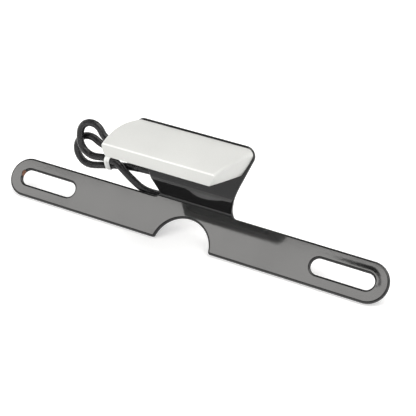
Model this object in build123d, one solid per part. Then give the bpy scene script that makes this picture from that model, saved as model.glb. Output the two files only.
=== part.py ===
from build123d import *
from math import atan, cos, pi, sin, tan, radians
import os

# License plate holder for a motorcycle: a flat bar with two long slots, a tongue folded forward
# from its top edge, and a plate lamp on the tongue's head. The origin is the middle of the slot
# pattern on the bar's back face, which seats on the plate. +X runs along the bar, +Y points
# away from the viewer, +Z points up. All lengths are in millimetres.

# Folded sheet
sheet = 2.0
bar_width = 18.0
slot_spacing = 146.0
slot_length = 28.0
bar_end_margin = 6.5
slot_width = 7.0
notch_radius = 13.3
notch_drop = 1.2
notch_lip_radius = 1.2
neck_width = 36.1
root_radius = 2.4
neck_straight = 0.1
flare_run = 0.7
fold_radius = 1.5
ledge_length = 11.2
ledge_angle = 23.0
head_bend_radius = 6.0
head_length = 25.8
head_angle = 51.9
head_width = 60.0
head_corner_radius = 4.0

# Lamp housing, measured on the head plate: s runs up the plate from its bend, h out from it
lamp_depth = 30.4
lamp_top_margin = 0.1
lamp_back_height = 14.0
lamp_back_top_width = 58.2
lamp_back_bottom_width = 46.0
lamp_corner_chamfer = 1.5
lamp_lip_height = 5.5
lamp_lip_top_width = 52.8
lamp_lip_drop = 1.0
lamp_crown = 1.4
lamp_end_bulge = 1.0
lamp_lip_chamfer = 0.4
lamp_wall = 1.6
lamp_back_wall = 2.0
lamp_floor = 3.0

# Lens, gasket and board in the lamp's underside
lens_length = 44.0
lens_width = 20.0
lens_corner = 4.0
lens_thickness = 1.4
gasket_thickness = 0.6
gasket_width = 1.5
window_end_border = 4.6
window_side_border = 3.0
lens_clearance = 0.15
lens_front_margin = 5.4
lens_rib_count = 7
lens_rib_height = 0.8
lens_rib_margin = 3.0
board_length = 33.0
board_width = 12.0
board_thickness = 1.0
board_wire_gap = 0.3
board_wire_lift = 0.75
board_pad_spacing = 7.2
board_pad_margin = 1.2
board_screw_margin = 0.3
board_corner = 1.0
board_wire_spacing = 1.5
board_wire_diameter = 1.0
led_count = 3
led_pitch = 9.0
led_size = 3.5
led_height = 1.4
led_clearance = 0.1
led_row = -2.2
resistor_length = 3.2
resistor_width = 1.6
resistor_height = 0.6
resistor_row = 3.6
diode_length = 3.7
diode_width = 1.6
diode_height = 1.2
diode_chamfer = 0.3

# Fasteners
screw_shank_radius = 1.1
screw_head_radius = 1.9
screw_head_height = 1.1
screw_length = 4.4
screw_clearance = 0.15
screw_margin = 2.2
screw_head_chamfer = 0.45
recess_width = 0.6
recess_span = 1.3
boss_wall = 1.2
stud_radius = 2.0
stud_length = 10.5
stud_spacing = 32.0
stud_flange_radius = 3.2
stud_flange = 1.6
stud_hole_clearance = 0.25
fixing_drop = 6.3
washer_radius = 4.5
washer_thickness = 0.8
spring_washer_radius = 3.7
spring_washer_thickness = 1.1
spring_washer_gap = 0.8
spring_washer_turn = 25.0
nut_flats = 7.0
nut_height = 3.2
nut_cone_share = 1.16
nut_chamfer_share = 0.12
thread_clearance = 0.05

# Lead, its grommet and its ends
lead_diameter = 3.3
lead_hole_drop = 8.3
lead_hole_radius = 3.2
lead_inside = 3.0
lead_straight = 14.5
grommet_radius = 4.5
grommet_flange = 1.4
grommet_clearance = 0.05
grommet_recess_clearance = 0.3
core_diameter = 1.2
core_spacing = 3.6
tie_width = 2.3
tie_thickness = 0.6
tie_corner = 1.0
terminal_radius = 1.5
terminal_length = 8.0
terminal_pin_radius = 1.0
terminal_pin_length = 3.0
terminal_chamfer = 0.5

# The lead's way from behind the head plate to the hank, chosen by hand
lead_waypoints = [
    (-6.0, 6.5, 22.5),
    (-15.0, 6.0, 10.6),
    (-30.0, 1.2, 10.6),
    (-43.5, -4.2, 17.6),
]

# The wound lead on the head plate's rear side: its right fold below the washers, the outline of
# its left loops in x and s, and the loops' opening
hank_right = -3.6
hank_low = -2.3
hank_clearance = 0.1
hank_fold_share = 0.436
hank_slope_place = -33.0
hank_slope_drop = 0.9
hank_slope_radius = 16.0
hank_loops = [
    (-46.0, 14.4), (-55.0, 17.8), (-62.0, 12.5), (-65.5, 0.0), (-62.5, -9.4), (-54.0, -8.4),
    (-45.0, -4.9), (-34.0, -2.4),
]
hank_loop_radii = [16.0, 6.0, 9.0, 9.0, 5.0, 16.0, 16.0, 20.0]
hank_opening = [(-41.5, 3.6), (-52.5, 7.4), (-58.0, 4.4), (-52.0, 1.6)]
hank_opening_radius = 1.6
hank_front = 3.5
hank_back = 10.4
hank_edge_chamfer = 1.3
tie_place = -47.0
tie_low = -6.3
tie_high = 2.9

# Tail of the lead, beyond the hank's right end
tail_depth = 3.8
tail_length = 7.0
core_length = 4.5
core_gap = 0.2


# Places that follow from the sizes
bar_length = slot_spacing + slot_length + 2 * bar_end_margin
bar_top = bar_width / 2
fold_turn = 90.0 - ledge_angle
fold_z = bar_top + fold_radius * tan(radians(fold_turn / 2))
bend_y = -sheet - ledge_length * cos(radians(ledge_angle))
bend_z = fold_z + ledge_length * sin(radians(ledge_angle))
up_head = Vector(0, -cos(radians(head_angle)), sin(radians(head_angle)))
out_head = Vector(0, -sin(radians(head_angle)), -cos(radians(head_angle)))
head_plane = Plane(origin=(0, bend_y, bend_z), x_dir=(1, 0, 0), z_dir=out_head)
lamp_top = head_length - lamp_top_margin
lamp_back_low = lamp_top - lamp_back_height
lip_top = lamp_top - lamp_lip_drop
lip_low = lip_top - lamp_lip_height
lamp_end_slope = (lamp_back_top_width - lamp_back_bottom_width) / (2 * lamp_back_height)
lamp_end_tilt = atan(lamp_end_slope)
fixing_height = head_length - fixing_drop
lead_hole_height = head_length - lead_hole_drop
hank_high = fixing_height - washer_radius - hank_clearance
hank_fold_radius = (hank_high - hank_low) * hank_fold_share
hank_slope = (hank_slope_place, hank_high - hank_slope_drop)
hank_outline = [(hank_right, hank_low), (hank_right, hank_high), hank_slope, *hank_loops]
hank_radii = [hank_fold_radius, hank_fold_radius, hank_slope_radius, *hank_loop_radii]
tail_height = (hank_low + hank_high) / 2


def at_head(x, s, h):
    """A point given on the head plate: across, up it and out from it."""
    return Vector(0, bend_y, bend_z) + Vector(x, 0, 0) + up_head * s + out_head * h


underside_back = at_head(0, lamp_back_low, 0)
underside_front = at_head(0, lip_low, lamp_depth)
underside_run = (underside_front - underside_back).normalized()
underside_out = Vector(1, 0, 0).cross(underside_run)
underside = Plane(origin=underside_front, x_dir=(1, 0, 0), z_dir=underside_out)
lens_middle = -(lens_front_margin + lens_width / 2)
window_length = lens_length - 2 * window_end_border
window_width = lens_width - 2 * window_side_border
screw_place = lens_length / 2 - screw_margin
board_pad_place = lens_middle - board_width / 2 + board_pad_margin


def sheet_profile():
    """Side view of the folded sheet: bar, fold, ledge, bend and head, one thickness throughout."""
    front = [(-sheet, 0.0), (-sheet, fold_z), (bend_y, bend_z)]
    front.append((bend_y + head_length * up_head.Y, bend_z + head_length * up_head.Z))
    runs = [(Vector(*b) - Vector(*a)).normalized() for a, b in zip(front, front[1:])]
    sides = [Vector(run.Y, -run.X) for run in runs]
    rear = [Vector(*front[0]) + sides[0] * sheet]
    for point, before, after in zip(front[1:-1], sides, sides[1:]):
        rear.append(Vector(*point) + (before + after) * (sheet / (1 + before.dot(after))))
    rear.append(Vector(*front[-1]) + sides[-1] * sheet)
    front_edge = FilletPolyline(*front, radius=[fold_radius, head_bend_radius + sheet])
    rear_edge = FilletPolyline(*rear, radius=[fold_radius + sheet, head_bend_radius])
    ends = [Line(front[0], rear[0]), Line(front[-1], rear[-1])]
    return make_face(front_edge.edges() + rear_edge.edges() + ends)


def tongue_outline():
    """Front view of the tongue: neck, flare and the head's slanting sides."""
    neck = neck_width / 2
    flare = bar_top + root_radius + neck_straight + flare_run
    head_top = bend_z + head_length * up_head.Z
    slope = (head_width / 2 - neck) / (head_top - flare)
    flare_radius = flare_run / tan(atan(slope) / 2)
    above = head_top + sheet * 2
    wide = neck + slope * (above - flare)
    foot = neck + root_radius * 2
    half = [(foot, 0), (foot, bar_top), (neck, bar_top), (neck, flare), (wide, above)]
    outline = Polygon(*half, *[(-x, z) for x, z in reversed(half)], align=None)

    def near(height):
        return [v for v in outline.vertices() if abs(v.Y - height) < 0.01 and abs(abs(v.X) - neck) < 0.01]

    roots = near(bar_top)
    outline = fillet(roots, root_radius)
    return fillet(near(flare), flare_radius)


def bracket():
    """The one-piece steel holder with its slots, notch, lamp stud holes and lead hole."""
    bar = SlotOverall(bar_length, bar_width)
    for side in (-1, 1):
        bar -= Pos(side * slot_spacing / 2, 0) * SlotOverall(slot_length, slot_width)
    bar -= Pos(0, -bar_top - notch_drop) * Circle(notch_radius)
    notch_half = (notch_radius**2 - notch_drop**2) ** 0.5
    lips = [v for v in bar.vertices() if abs(abs(v.X) - notch_half) < 0.01 and v.Y < -bar_top + 0.01]
    bar = fillet(lips, notch_lip_radius)
    plate = extrude(Plane.XZ * bar, amount=sheet)
    sheet_strip = extrude(Plane.YZ * sheet_profile(), amount=head_width, both=True)
    reach = sheet + ledge_length + head_length
    prism = extrude(Plane.XZ * tongue_outline(), amount=reach)
    tongue = sheet_strip & prism
    top_end = tongue.faces().sort_by(Axis((0, 0, 0), up_head))[-1]
    corners = [e for e in tongue.edges() if abs(e.length - sheet) < 0.6 and
               min((e.center() - v.center()).length for v in top_end.vertices()) < sheet]
    corners = [e for e in corners if abs((e @ 1 - e @ 0).normalized().dot(out_head)) > 0.9]
    tongue = fillet(corners, head_corner_radius)
    body = plate + tongue
    for side in (-1, 1):
        body -= stud_hole(side)
    return body - head_plane * Pos(0, lead_hole_height) * Cylinder(lead_hole_radius, sheet * 4)


def stud_hole(side):
    radius = stud_radius + stud_hole_clearance
    return head_plane * Pos(side * stud_spacing / 2, fixing_height) * Cylinder(radius, sheet * 4)


def beyond_end(x, s):
    """How far a point lies outside the lamp's sloping end at the back, measured square to it."""
    return (x - lamp_back_top_width / 2 - lamp_end_slope * (s - lamp_top)) * cos(lamp_end_tilt)


def swept_lamp(profile, plan):
    """The space inside a side profile swept across the lamp and inside its two sloping ends."""
    shape = extrude(profile, amount=lamp_back_top_width, both=True, dir=(1, 0, 0))
    for side in (-1, 1):
        outward = Vector(side * cos(lamp_end_tilt), -sin(lamp_end_tilt), 0)
        corner = (side * lamp_back_top_width / 2, lamp_top, 0)
        end = Plane(origin=corner, x_dir=outward, z_dir=outward.cross(Vector(0, 0, 1)))
        shape &= end * extrude(plan, amount=lamp_back_top_width, both=True)
    return shape


def lamp_outside():
    """The lamp's outer form, with a crowned top, bulging ends and bevelled long edges."""
    middle = lamp_depth / 2
    crown = (lamp_top + lip_top) / 2 + lamp_crown
    back = [(0, lamp_back_low, 0), (0, lamp_top, 0)]
    front = [(0, lip_top, lamp_depth), (0, lip_low, lamp_depth)]
    roof = ThreePointArc(back[1], (0, crown, middle), front[0])
    profile = make_face([Line(*back), roof, Line(*front), Line(front[1], back[0])])
    half = (lamp_back_top_width + lamp_lip_top_width) / 4 + lamp_end_bulge
    lip_end = beyond_end(lamp_lip_top_width / 2, lip_top)
    bulge = ThreePointArc((0, 0), (beyond_end(half, crown), middle), (lip_end, lamp_depth))
    inner = [(lip_end, lamp_depth), (-lamp_back_top_width, lamp_depth), (-lamp_back_top_width, 0), (0, 0)]
    plan = make_face([bulge] + [Line(a, b) for a, b in zip(inner, inner[1:])])
    body = swept_lamp(profile, plan)
    long_edges = [e for e in body.edges() if abs((e @ 1 - e @ 0).Z) > middle]
    body = chamfer(long_edges, lamp_corner_chamfer)
    return head_plane * chamfer(body.faces().sort_by(Axis.Z)[-1].edges(), lamp_lip_chamfer)


def lamp_hollow():
    """The flat-sided space inside the housing."""
    back, front = lamp_back_wall, lamp_depth - lamp_wall
    corners = []
    for h in (back, front):
        share = h / lamp_depth
        top = lamp_top + (lip_top - lamp_top) * share - lamp_wall
        low = lamp_back_low + (lip_low - lamp_back_low) * share + lamp_floor
        corners.append([(low, h), (top, h)])
    profile = Plane.YZ * Polygon(*corners[0], *reversed(corners[1]), align=None)
    taper = beyond_end(lamp_lip_top_width / 2, lip_top) / lamp_depth
    ends = [(taper * h - lamp_wall, h) for h in (back, front)]
    plan = Polygon(*ends, (-lamp_back_top_width, front), (-lamp_back_top_width, back), align=None)
    return head_plane * swept_lamp(profile, plan)


def rounded_block(length, width, corner, low, high):
    """A rounded block in the underside, from low to high along the underside's outward normal."""
    sketch = Pos(0, lens_middle, low) * RectangleRounded(length, width, corner)
    return underside * extrude(sketch, amount=high - low)


def lens_recess_depth():
    return lens_thickness + gasket_thickness


def lamp_housing():
    """Silver moulded shell: a crowned top, a lip in front, and an open window below."""
    cavity = lamp_hollow()
    for side in (-1, 1):
        boss = head_plane * Pos(side * stud_spacing / 2, fixing_height)
        cavity -= boss * Cylinder(stud_flange_radius + boss_wall, stud_boss_length() * 2)
        post_height = screw_length + boss_wall
        post = Pos(side * screw_place, lens_middle)
        cavity -= underside * post * Cylinder(screw_shank_radius + boss_wall, post_height * 2)
    for x, y in board_screw_places():
        high = board_level() + board_thickness
        post = Pos(x, y, -(high + lamp_depth / 2)) * Cylinder(screw_shank_radius + boss_wall, lamp_depth)
        cavity -= underside * post
    shell = lamp_outside() - cavity
    shell -= rounded_block(lens_length + 2 * lens_clearance, lens_width + 2 * lens_clearance,
                           lens_corner, -lens_recess_depth(), 1)
    shell -= rounded_block(window_length, window_width, lens_corner / 2, -lamp_floor - 1, 0)
    shell -= studs()
    shell -= lens_screws()
    shell -= board_screws()
    recess_radius = grommet_radius + grommet_recess_clearance
    return shell - head_plane * Pos(0, lead_hole_height) * Cylinder(recess_radius, lamp_back_wall * 3)


def stud_boss_length():
    return lamp_back_wall + stud_flange + boss_wall


def studs():
    """Two threaded studs whose flanges are moulded into bosses behind the housing."""
    group = []
    for side in (-1, 1):
        place = head_plane * Pos(side * stud_spacing / 2, fixing_height)
        shank = place * Pos(0, 0, lamp_back_wall - (stud_length + lamp_back_wall) / 2)
        flange = place * Pos(0, 0, lamp_back_wall + stud_flange / 2)
        group.append(shank * Cylinder(stud_radius, stud_length + lamp_back_wall)
                     + flange * Cylinder(stud_flange_radius, stud_flange))
    return group


def behind_head(side, h):
    return head_plane * Pos(side * stud_spacing / 2, fixing_height, -h)


def stud_washers():
    bore = stud_radius + stud_hole_clearance
    ring = Cylinder(washer_radius, washer_thickness) - Cylinder(bore, washer_thickness)
    return [behind_head(side, sheet + washer_thickness / 2) * ring for side in (-1, 1)]


def spring_washers():
    bore = stud_radius + stud_hole_clearance
    ring = Cylinder(spring_washer_radius, spring_washer_thickness)
    ring -= Cylinder(bore, spring_washer_thickness)
    slit = Rot(0, 0, spring_washer_turn) * Pos(spring_washer_radius, 0)
    ring -= slit * Box(spring_washer_radius * 2, spring_washer_gap, spring_washer_thickness * 2)
    middle = sheet + washer_thickness + spring_washer_thickness / 2
    return [behind_head(side, middle) * ring for side in (-1, 1)]


def stud_nuts():
    body = extrude(RegularPolygon(nut_flats / 2, 6, major_radius=False), amount=nut_height / 2, both=True)
    cone = Cylinder(nut_flats / 2 * nut_cone_share, nut_height)
    body &= chamfer(cone.edges().filter_by(GeomType.CIRCLE), nut_height * nut_chamfer_share)
    body -= Cylinder(stud_radius + thread_clearance, nut_height)
    middle = sheet + washer_thickness + spring_washer_thickness + nut_height / 2
    return [behind_head(side, middle) * body for side in (-1, 1)]


def pan_screw(length):
    """A small pan-head screw pointing down -Z, its head resting on Z = 0, with a cross recess."""
    head = Cylinder(screw_head_radius, screw_head_height)
    head = chamfer(head.edges().sort_by(Axis.Z)[-1], screw_head_chamfer)
    head = Pos(0, 0, screw_head_height / 2) * head
    for turn in (0, 90):
        cross = Box(screw_head_radius * recess_span, recess_width, screw_head_height)
        head -= Pos(0, 0, screw_head_height) * Rot(0, 0, turn) * cross
    return head + Pos(0, 0, -length / 2) * Cylinder(screw_shank_radius, length)


def lens_screws():
    screw = pan_screw(screw_length)
    return [underside * Pos(side * screw_place, lens_middle) * screw for side in (-1, 1)]


def lens_hole(side):
    return underside * Pos(side * screw_place, lens_middle) * Cylinder(
        screw_shank_radius + screw_clearance, lamp_floor * 3)


def lamp_lens():
    """Clear window with ribs on its inner side and a hole at each end for its screw."""
    plate = rounded_block(lens_length, lens_width, lens_corner - lens_clearance, -lens_thickness, 0)
    pitch = (window_length - 2 * lens_rib_margin) / (lens_rib_count - 1)
    for index in range(lens_rib_count):
        x = (index - (lens_rib_count - 1) / 2) * pitch
        rib = Pos(x, lens_middle, -lens_thickness)
        profile = underside * rib * Rot(90, 0, 0)
        plate += profile * Cylinder(lens_rib_height, window_width - lens_rib_margin)
    for side in (-1, 1):
        plate -= lens_hole(side)
    return plate


def lens_gasket():
    ring = rounded_block(lens_length, lens_width, lens_corner - lens_clearance,
                         -lens_recess_depth(), -lens_thickness)
    ring -= rounded_block(window_length, lens_width - 2 * gasket_width, lens_corner / 2,
                          -lens_recess_depth(), -lens_thickness)
    for side in (-1, 1):
        ring -= lens_hole(side)
    return ring


def board_level():
    """How far the board's lower face lies above the underside."""
    return lamp_floor + led_height + led_clearance


def board_screw_places():
    x = board_length / 2 - screw_head_radius - board_screw_margin
    return [(-x, lens_middle), (x, lens_middle)]


def board_screws():
    screw = pan_screw(screw_length)
    turned = Pos(0, 0, -board_level()) * screw
    return [underside * Pos(x, y) * turned for x, y in board_screw_places()]


def led_board():
    board = extrude(RectangleRounded(board_length, board_width, board_corner), amount=board_thickness)
    board = Pos(0, lens_middle, -board_level() - board_thickness) * board
    for x, y in board_screw_places():
        board -= Pos(x, y) * Cylinder(screw_shank_radius + screw_clearance, lamp_depth * 3)
    return underside * board


def on_board(x, y, height):
    """Places a part on the board's lower face, its own middle at half its height."""
    return underside * Pos(x, lens_middle + y, -board_level() + height / 2)


def leds():
    group = []
    for index in range(led_count):
        x = (index - (led_count - 1) / 2) * led_pitch
        group.append(on_board(x, led_row, led_height) * Box(led_size, led_size, led_height))
    return group


def resistors():
    body = Box(resistor_length, resistor_width, resistor_height)
    group = []
    for index in range(led_count):
        x = (index - (led_count - 1) / 2) * led_pitch
        group.append(on_board(x, resistor_row, resistor_height) * body)
    return group


def polarity_diode():
    body = chamfer(Box(diode_length, diode_width, diode_height).edges().filter_by(Axis.Z), diode_chamfer)
    behind = -board_level() - board_thickness - diode_height / 2
    return underside * Pos(0, lens_middle, behind) * body


def lead_grommet():
    """Rubber grommet that grips the edge of the head plate's hole."""
    reach = grommet_flange * 2 + sheet
    body = Pos(0, 0, -sheet / 2) * Cylinder(grommet_radius, reach)
    groove = Cylinder(grommet_radius * 2, sheet) - Cylinder(lead_hole_radius, sheet)
    body -= Pos(0, 0, -sheet / 2) * groove
    bore = lead_diameter / 2 + grommet_clearance
    body -= Pos(0, 0, -sheet / 2) * Cylinder(bore, reach * 2)
    return head_plane * Pos(0, lead_hole_height) * body


def lead_route():
    """The lead's corners, from inside the lamp to inside the hank."""
    inside = at_head(0, lead_hole_height, lead_inside)
    behind = at_head(0, lead_hole_height, -lead_straight)
    return [inside, behind, *[Vector(*point) for point in lead_waypoints]]


def cord_radii(points):
    """The largest arc at each corner that leaves a short straight run between arcs."""
    share_of_run = 0.45
    radii = []
    for before, corner, after in zip(points, points[1:], points[2:]):
        into = corner - before
        away = after - corner
        half_turn = radians(into.get_angle(away) / 2)
        radii.append(share_of_run * min(into.length, away.length) / tan(half_turn))
    return radii


def tube(points, diameter):
    """A round cord along straight runs joined by tangent arcs, and its length."""
    if len(points) > 2:
        path = FilletPolyline(*points, radius=cord_radii(points))
    else:
        path = Line(*points)
    start = Plane(origin=path @ 0, z_dir=path % 0)
    return sweep(start * Circle(diameter / 2), path=path), path.length


def lead_hank():
    """The wound turns as one closed solid, open where the photograph shows the loop open."""
    outline = Polygon(*hank_outline, align=None)
    for point, radius in zip(hank_outline, hank_radii):
        corner = outline.vertices().sort_by_distance((point[0], point[1], 0))[0]
        outline = fillet(corner, radius)
    opening = Polygon(*hank_opening, align=None)
    opening = fillet(opening.vertices(), hank_opening_radius)
    thickness = hank_back - hank_front
    body = extrude(outline, amount=thickness)
    rims = [e for e in body.edges() if abs(abs(e.center().Z - thickness / 2) - thickness / 2) < 0.01]
    body = chamfer(rims, hank_edge_chamfer) - extrude(opening, amount=thickness)
    return head_plane * Pos(0, 0, -hank_back) * body


def lead_tail_start():
    return at_head(hank_right, tail_height, -tail_depth)


def lead_tail():
    start = lead_tail_start()
    return tube([start, start + Vector(tail_length, 0, 0)], lead_diameter)[0]


def core_ends(side):
    """Where a core leaves the sheath and where it enters its sleeve."""
    start = lead_tail_start() + Vector(tail_length + core_gap, 0, 0)
    close = up_head * (side * core_diameter / 2)
    apart = up_head * (side * core_spacing / 2)
    return [start + close, start + apart + Vector(core_length, 0, 0)]


def beyond_core(side, distance):
    """A plane across a core's own line, at a distance past its end."""
    start, finish = core_ends(side)
    along = (finish - start).normalized()
    return Plane(origin=finish + along * distance, z_dir=along)


def lead_cores():
    return [tube(core_ends(side), core_diameter)[0] for side in (-1, 1)]


def bullet_terminals():
    """Bare bullet pins on the ends of the two cores."""
    group = []
    for side in (-1, 1):
        pin = Pos(0, 0, terminal_pin_length / 2) * Cylinder(terminal_pin_radius, terminal_pin_length)
        tip = pin.edges().sort_by(Axis.Z)[-1]
        group.append(beyond_core(side, terminal_length) * chamfer(tip, terminal_chamfer))
    return group


def terminal_sleeves():
    group = []
    for side in (-1, 1):
        middle = beyond_core(side, terminal_length / 2)
        group.append(middle * Cylinder(terminal_radius, terminal_length))
    return group


def board_wires():
    """The two cores inside the lamp, from the sheath's end to the board."""
    group = []
    for side in (-1, 1):
        start = at_head(side * board_wire_spacing / 2, lead_hole_height, lead_inside + board_wire_gap)
        height = board_level() + board_thickness + board_wire_lift
        pad = Pos(side * board_pad_spacing / 2, board_pad_place, -height)
        group.append(tube([start, (underside * pad).position], board_wire_diameter)[0])
    return group


def twist_tie(hank):
    """A flat tie drawn tight round the hank's two lower strands."""
    middle = (tie_low + tie_high) / 2
    depth = (hank_front + hank_back) / 2
    height = tie_high - tie_low
    across = hank_back - hank_front
    place = head_plane * Pos(tie_place, middle, -depth) * Rot(0, 90, 0)
    outer = RectangleRounded(across + 2 * tie_thickness, height + 2 * tie_thickness, tie_corner)
    return place * extrude(outer, amount=tie_width / 2, both=True) - hank


def main():
    os.makedirs("parts", exist_ok=True)
    hank = lead_hank()
    lead, lead_length = tube(lead_route(), lead_diameter)
    pieces = {
        "bracket": bracket(),
        "lamp_housing": lamp_housing(),
        "lamp_lens": lamp_lens(),
        "lens_gasket": lens_gasket(),
        "lens_screws": lens_screws(),
        "led_board": led_board(),
        "board_screws": board_screws(),
        "leds": leds(),
        "resistors": resistors(),
        "polarity_diode": polarity_diode(),
        "board_wires": board_wires(),
        "lamp_studs": studs(),
        "stud_washers": stud_washers(),
        "stud_spring_washers": spring_washers(),
        "stud_nuts": stud_nuts(),
        "lead_grommet": lead_grommet(),
        "lamp_lead": lead - hank,
        "lead_hank": hank,
        "twist_tie": twist_tie(hank),
        "lead_tail": lead_tail(),
        "lead_cores": lead_cores(),
        "terminal_sleeves": terminal_sleeves(),
        "bullet_terminals": bullet_terminals(),
    }
    for name, piece in pieces.items():
        shape = Compound(children=piece) if isinstance(piece, list) else piece
        export_step(shape, f"parts/{name}.step")
    print("lead arcs", [round(r, 1) for r in cord_radii(lead_route())], "length", round(lead_length, 1))
    section = pi * (lead_diameter / 2) ** 2
    print("lead route", [tuple(round(c, 2) for c in point) for point in lead_route()])
    print("lead volume over section times length", round(lead.volume / (section * lead_length), 4))


main()
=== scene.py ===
"""License plate holder for a motorcycle, with its plate lamp and the lamp's wound lead."""

from math import atan2, cos, degrees, floor, pi, radians, sin, tan

import bmesh
import bpy
from mathutils import Matrix, Vector


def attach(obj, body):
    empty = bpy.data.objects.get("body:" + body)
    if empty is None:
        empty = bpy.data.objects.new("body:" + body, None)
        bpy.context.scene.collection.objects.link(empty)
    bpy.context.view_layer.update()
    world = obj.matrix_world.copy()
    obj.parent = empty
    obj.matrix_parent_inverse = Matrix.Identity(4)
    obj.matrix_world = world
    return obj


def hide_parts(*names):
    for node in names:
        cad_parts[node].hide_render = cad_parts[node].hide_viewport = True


bl_info = {
    "name": "License plate holder",
    "version": (1, 0, 0),
    "blender": (4, 5, 0),
    "location": "View3D > Sidebar > Plate holder",
    "description": "Builds a motorcycle license plate holder with its lamp round the packed frame",
    "category": "Object",
}

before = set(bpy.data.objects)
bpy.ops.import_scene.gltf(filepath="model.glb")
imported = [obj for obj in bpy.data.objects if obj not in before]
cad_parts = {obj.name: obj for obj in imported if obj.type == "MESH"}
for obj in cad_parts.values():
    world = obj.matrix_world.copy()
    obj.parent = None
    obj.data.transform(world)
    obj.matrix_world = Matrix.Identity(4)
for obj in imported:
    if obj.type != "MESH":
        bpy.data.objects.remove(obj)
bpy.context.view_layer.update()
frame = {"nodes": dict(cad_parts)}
nodes = frame["nodes"]

MM = 0.001

# The head plate's bend in millimetres, and the ways across the plate, up it and out from its front
HEAD_BEND = Vector((0, -12.3097, 14.3694))
HEAD_TILT = radians(51.9)
ACROSS = Vector((1, 0, 0))
UP_HEAD = Vector((0, -cos(HEAD_TILT), sin(HEAD_TILT)))
OUT_HEAD = Vector((0, -sin(HEAD_TILT), -cos(HEAD_TILT)))


def at_head(x, s, h):
    """A point in metres from millimetres across the head plate, up it and out from it."""
    return (HEAD_BEND + ACROSS * x + UP_HEAD * s + OUT_HEAD * h) * MM


# How far up the head plate the studs and the grommet sit, and how far out the studs are
STUD_UP, STUD_OUT = 19.5, 16.0
GROMMET_UP = 17.5

# The lens's middle from the lip along the underside, its recess and window there with their length,
# width, corner radius and two levels, and the board's face and the pitch of its parts
WINDOW_MIDDLE = 15.4
LENS_RECESS = (44.3, 20.3, 4.0, -2.0, 1.5)
LENS_WINDOW = (34.8, 14.0, 2.0, -3.6, 0.0)
BOARD_LEVEL, PART_PITCH = 4.5, 9.0
LED_ROW, RESISTOR_ROW = -2.2, 3.6

# Posts for the lens's and the board's screws: place across, and the depths that each one spans
POSTS = [(-19.8, -1.0, 5.2), (-14.3, 5.5, 14.0), (14.3, 5.5, 14.0), (19.8, -1.0, 5.2)]
POST_RADIUS = 2.3

# Radii of the holes for the studs, the grommet and the lead's bore into the lamp
STUD_HOLE, GROMMET_HOLE, LEAD_BORE = 2.25, 3.2, 4.8


# Sizes and colours


def length(name, description, default):
    return bpy.props.FloatProperty(
        name=name, description=description, default=default, min=0.0, unit="LENGTH", subtype="DISTANCE",
        precision=5,
    )


def number(name, description, default, unit="NONE"):
    return bpy.props.FloatProperty(name=name, description=description, default=default, min=0.0, unit=unit)


def colour(name, description, default):
    return bpy.props.FloatVectorProperty(
        name=name, description=description, default=default, size=3, min=0.0, max=1.0, subtype="COLOR"
    )


class HolderSheet(bpy.types.PropertyGroup):
    thickness: length("Thickness", "Thickness of the sheet", 0.002)
    bar_length: length("Bar length", "Length of the bar over its round ends", 0.187)
    bar_width: length("Bar width", "Height of the bar", 0.018)
    slot_spacing: length("Slot spacing", "Distance between the middles of the slots", 0.146)
    slot_length: length("Slot length", "Length of each slot over its round ends", 0.0284)
    slot_width: length("Slot width", "Height of each slot", 0.007)
    notch_radius: length("Notch radius", "Radius of the notch in the lower edge", 0.0134)
    notch_drop: length("Notch drop", "How far the notch's centre lies below the bar", 0.0013)
    neck_width: length("Neck width", "Width of the tongue where it leaves the bar", 0.0361)
    root_radius: length("Root radius", "Radius where the tongue's sides meet the bar", 0.0024)
    head_corner: length("Head corner", "Corner radius at the top of the head plate", 0.0042)
    edge_round: length("Edge rounding", "Radius of the painted sheet's edges", 0.00092)
    edge_steps: bpy.props.IntProperty(
        name="Edge steps", description="Faces across half of each rounded edge", default=3, min=1
    )
    paint: colour("Paint", "Gloss black paint on the sheet", (0.004, 0.004, 0.0042))
    rust: colour("Rust", "Rust where the paint has chipped at a slot", (0.28, 0.11, 0.045))


class LampForm(bpy.types.PropertyGroup):
    depth: length("Depth", "Housing from the head plate to its lip", 0.0304)
    top: length("Top", "Height of the housing's top at the head plate, from the bend", 0.0253)
    low: length("Underside", "Height of the housing's underside at the head plate, from the bend", 0.0117)
    top_width: length("Top width", "Width of the top at the head plate", 0.0582)
    low_width: length("Underside width", "Width of the underside at the head plate", 0.046)
    back_corner: length("Back corner", "Corner radius at the head plate", 0.0024)
    lip_top: length("Lip top", "Height of the lip's upper edge", 0.0247)
    lip_low: length("Lip underside", "Height of the lip's lower edge", 0.0192)
    lip_width: length("Lip width", "Width of the lip along its upper edge", 0.0528)
    lip_low_width: length("Lip lower width", "Width of the lip along its lower edge", 0.049)
    lip_corner: length("Lip corner", "Corner radius at the lip", 0.001)
    crown: length("Crown", "How far the top swells between its ends", 0.0014)
    end_bulge: length("End bulge", "How far each end swells along the housing", 0.001)
    side_bulge: length("Side bulge", "How far each end swells up its height", 0.0005)
    lip_round: length("Lip rounding", "Radius of the lip's edges", 0.0006)
    wall: length("Wall", "Wall thickness of the housing", 0.0016)
    silver: colour("Silver", "Silver finish of the housing", (0.635, 0.64, 0.62))


class LeadForm(bpy.types.PropertyGroup):
    diameter: length("Diameter", "Diameter of the lead's sheath", 0.0033)
    core: length("Core", "Diameter of each core", 0.0012)
    sheath: colour("Sheath", "Black sheath", (0.009, 0.009, 0.01))
    tie: colour("Tie", "White twist tie", (0.86, 0.87, 0.86))
    live: colour("Feed core", "Insulation of the feed core", (0.45, 0.02, 0.015))
    earth: colour("Return core", "Insulation of the return core", (0.02, 0.02, 0.022))


class StudioForm(bpy.types.PropertyGroup):
    sky: number("Sky", "Strength of the even white surroundings", 0.66)
    front: number("Front lamp", "Power of the large soft lamp in front", 5.9, "POWER")
    top: number("Top lamp", "Power of the soft lamp above", 5.6, "POWER")
    side: number("Side lamp", "Power of the soft lamp on the right", 1.4, "POWER")
    floor_white: number("Floor white", "What the floor adds to its own light where it is seen", 0.35)


# Finishes


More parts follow.
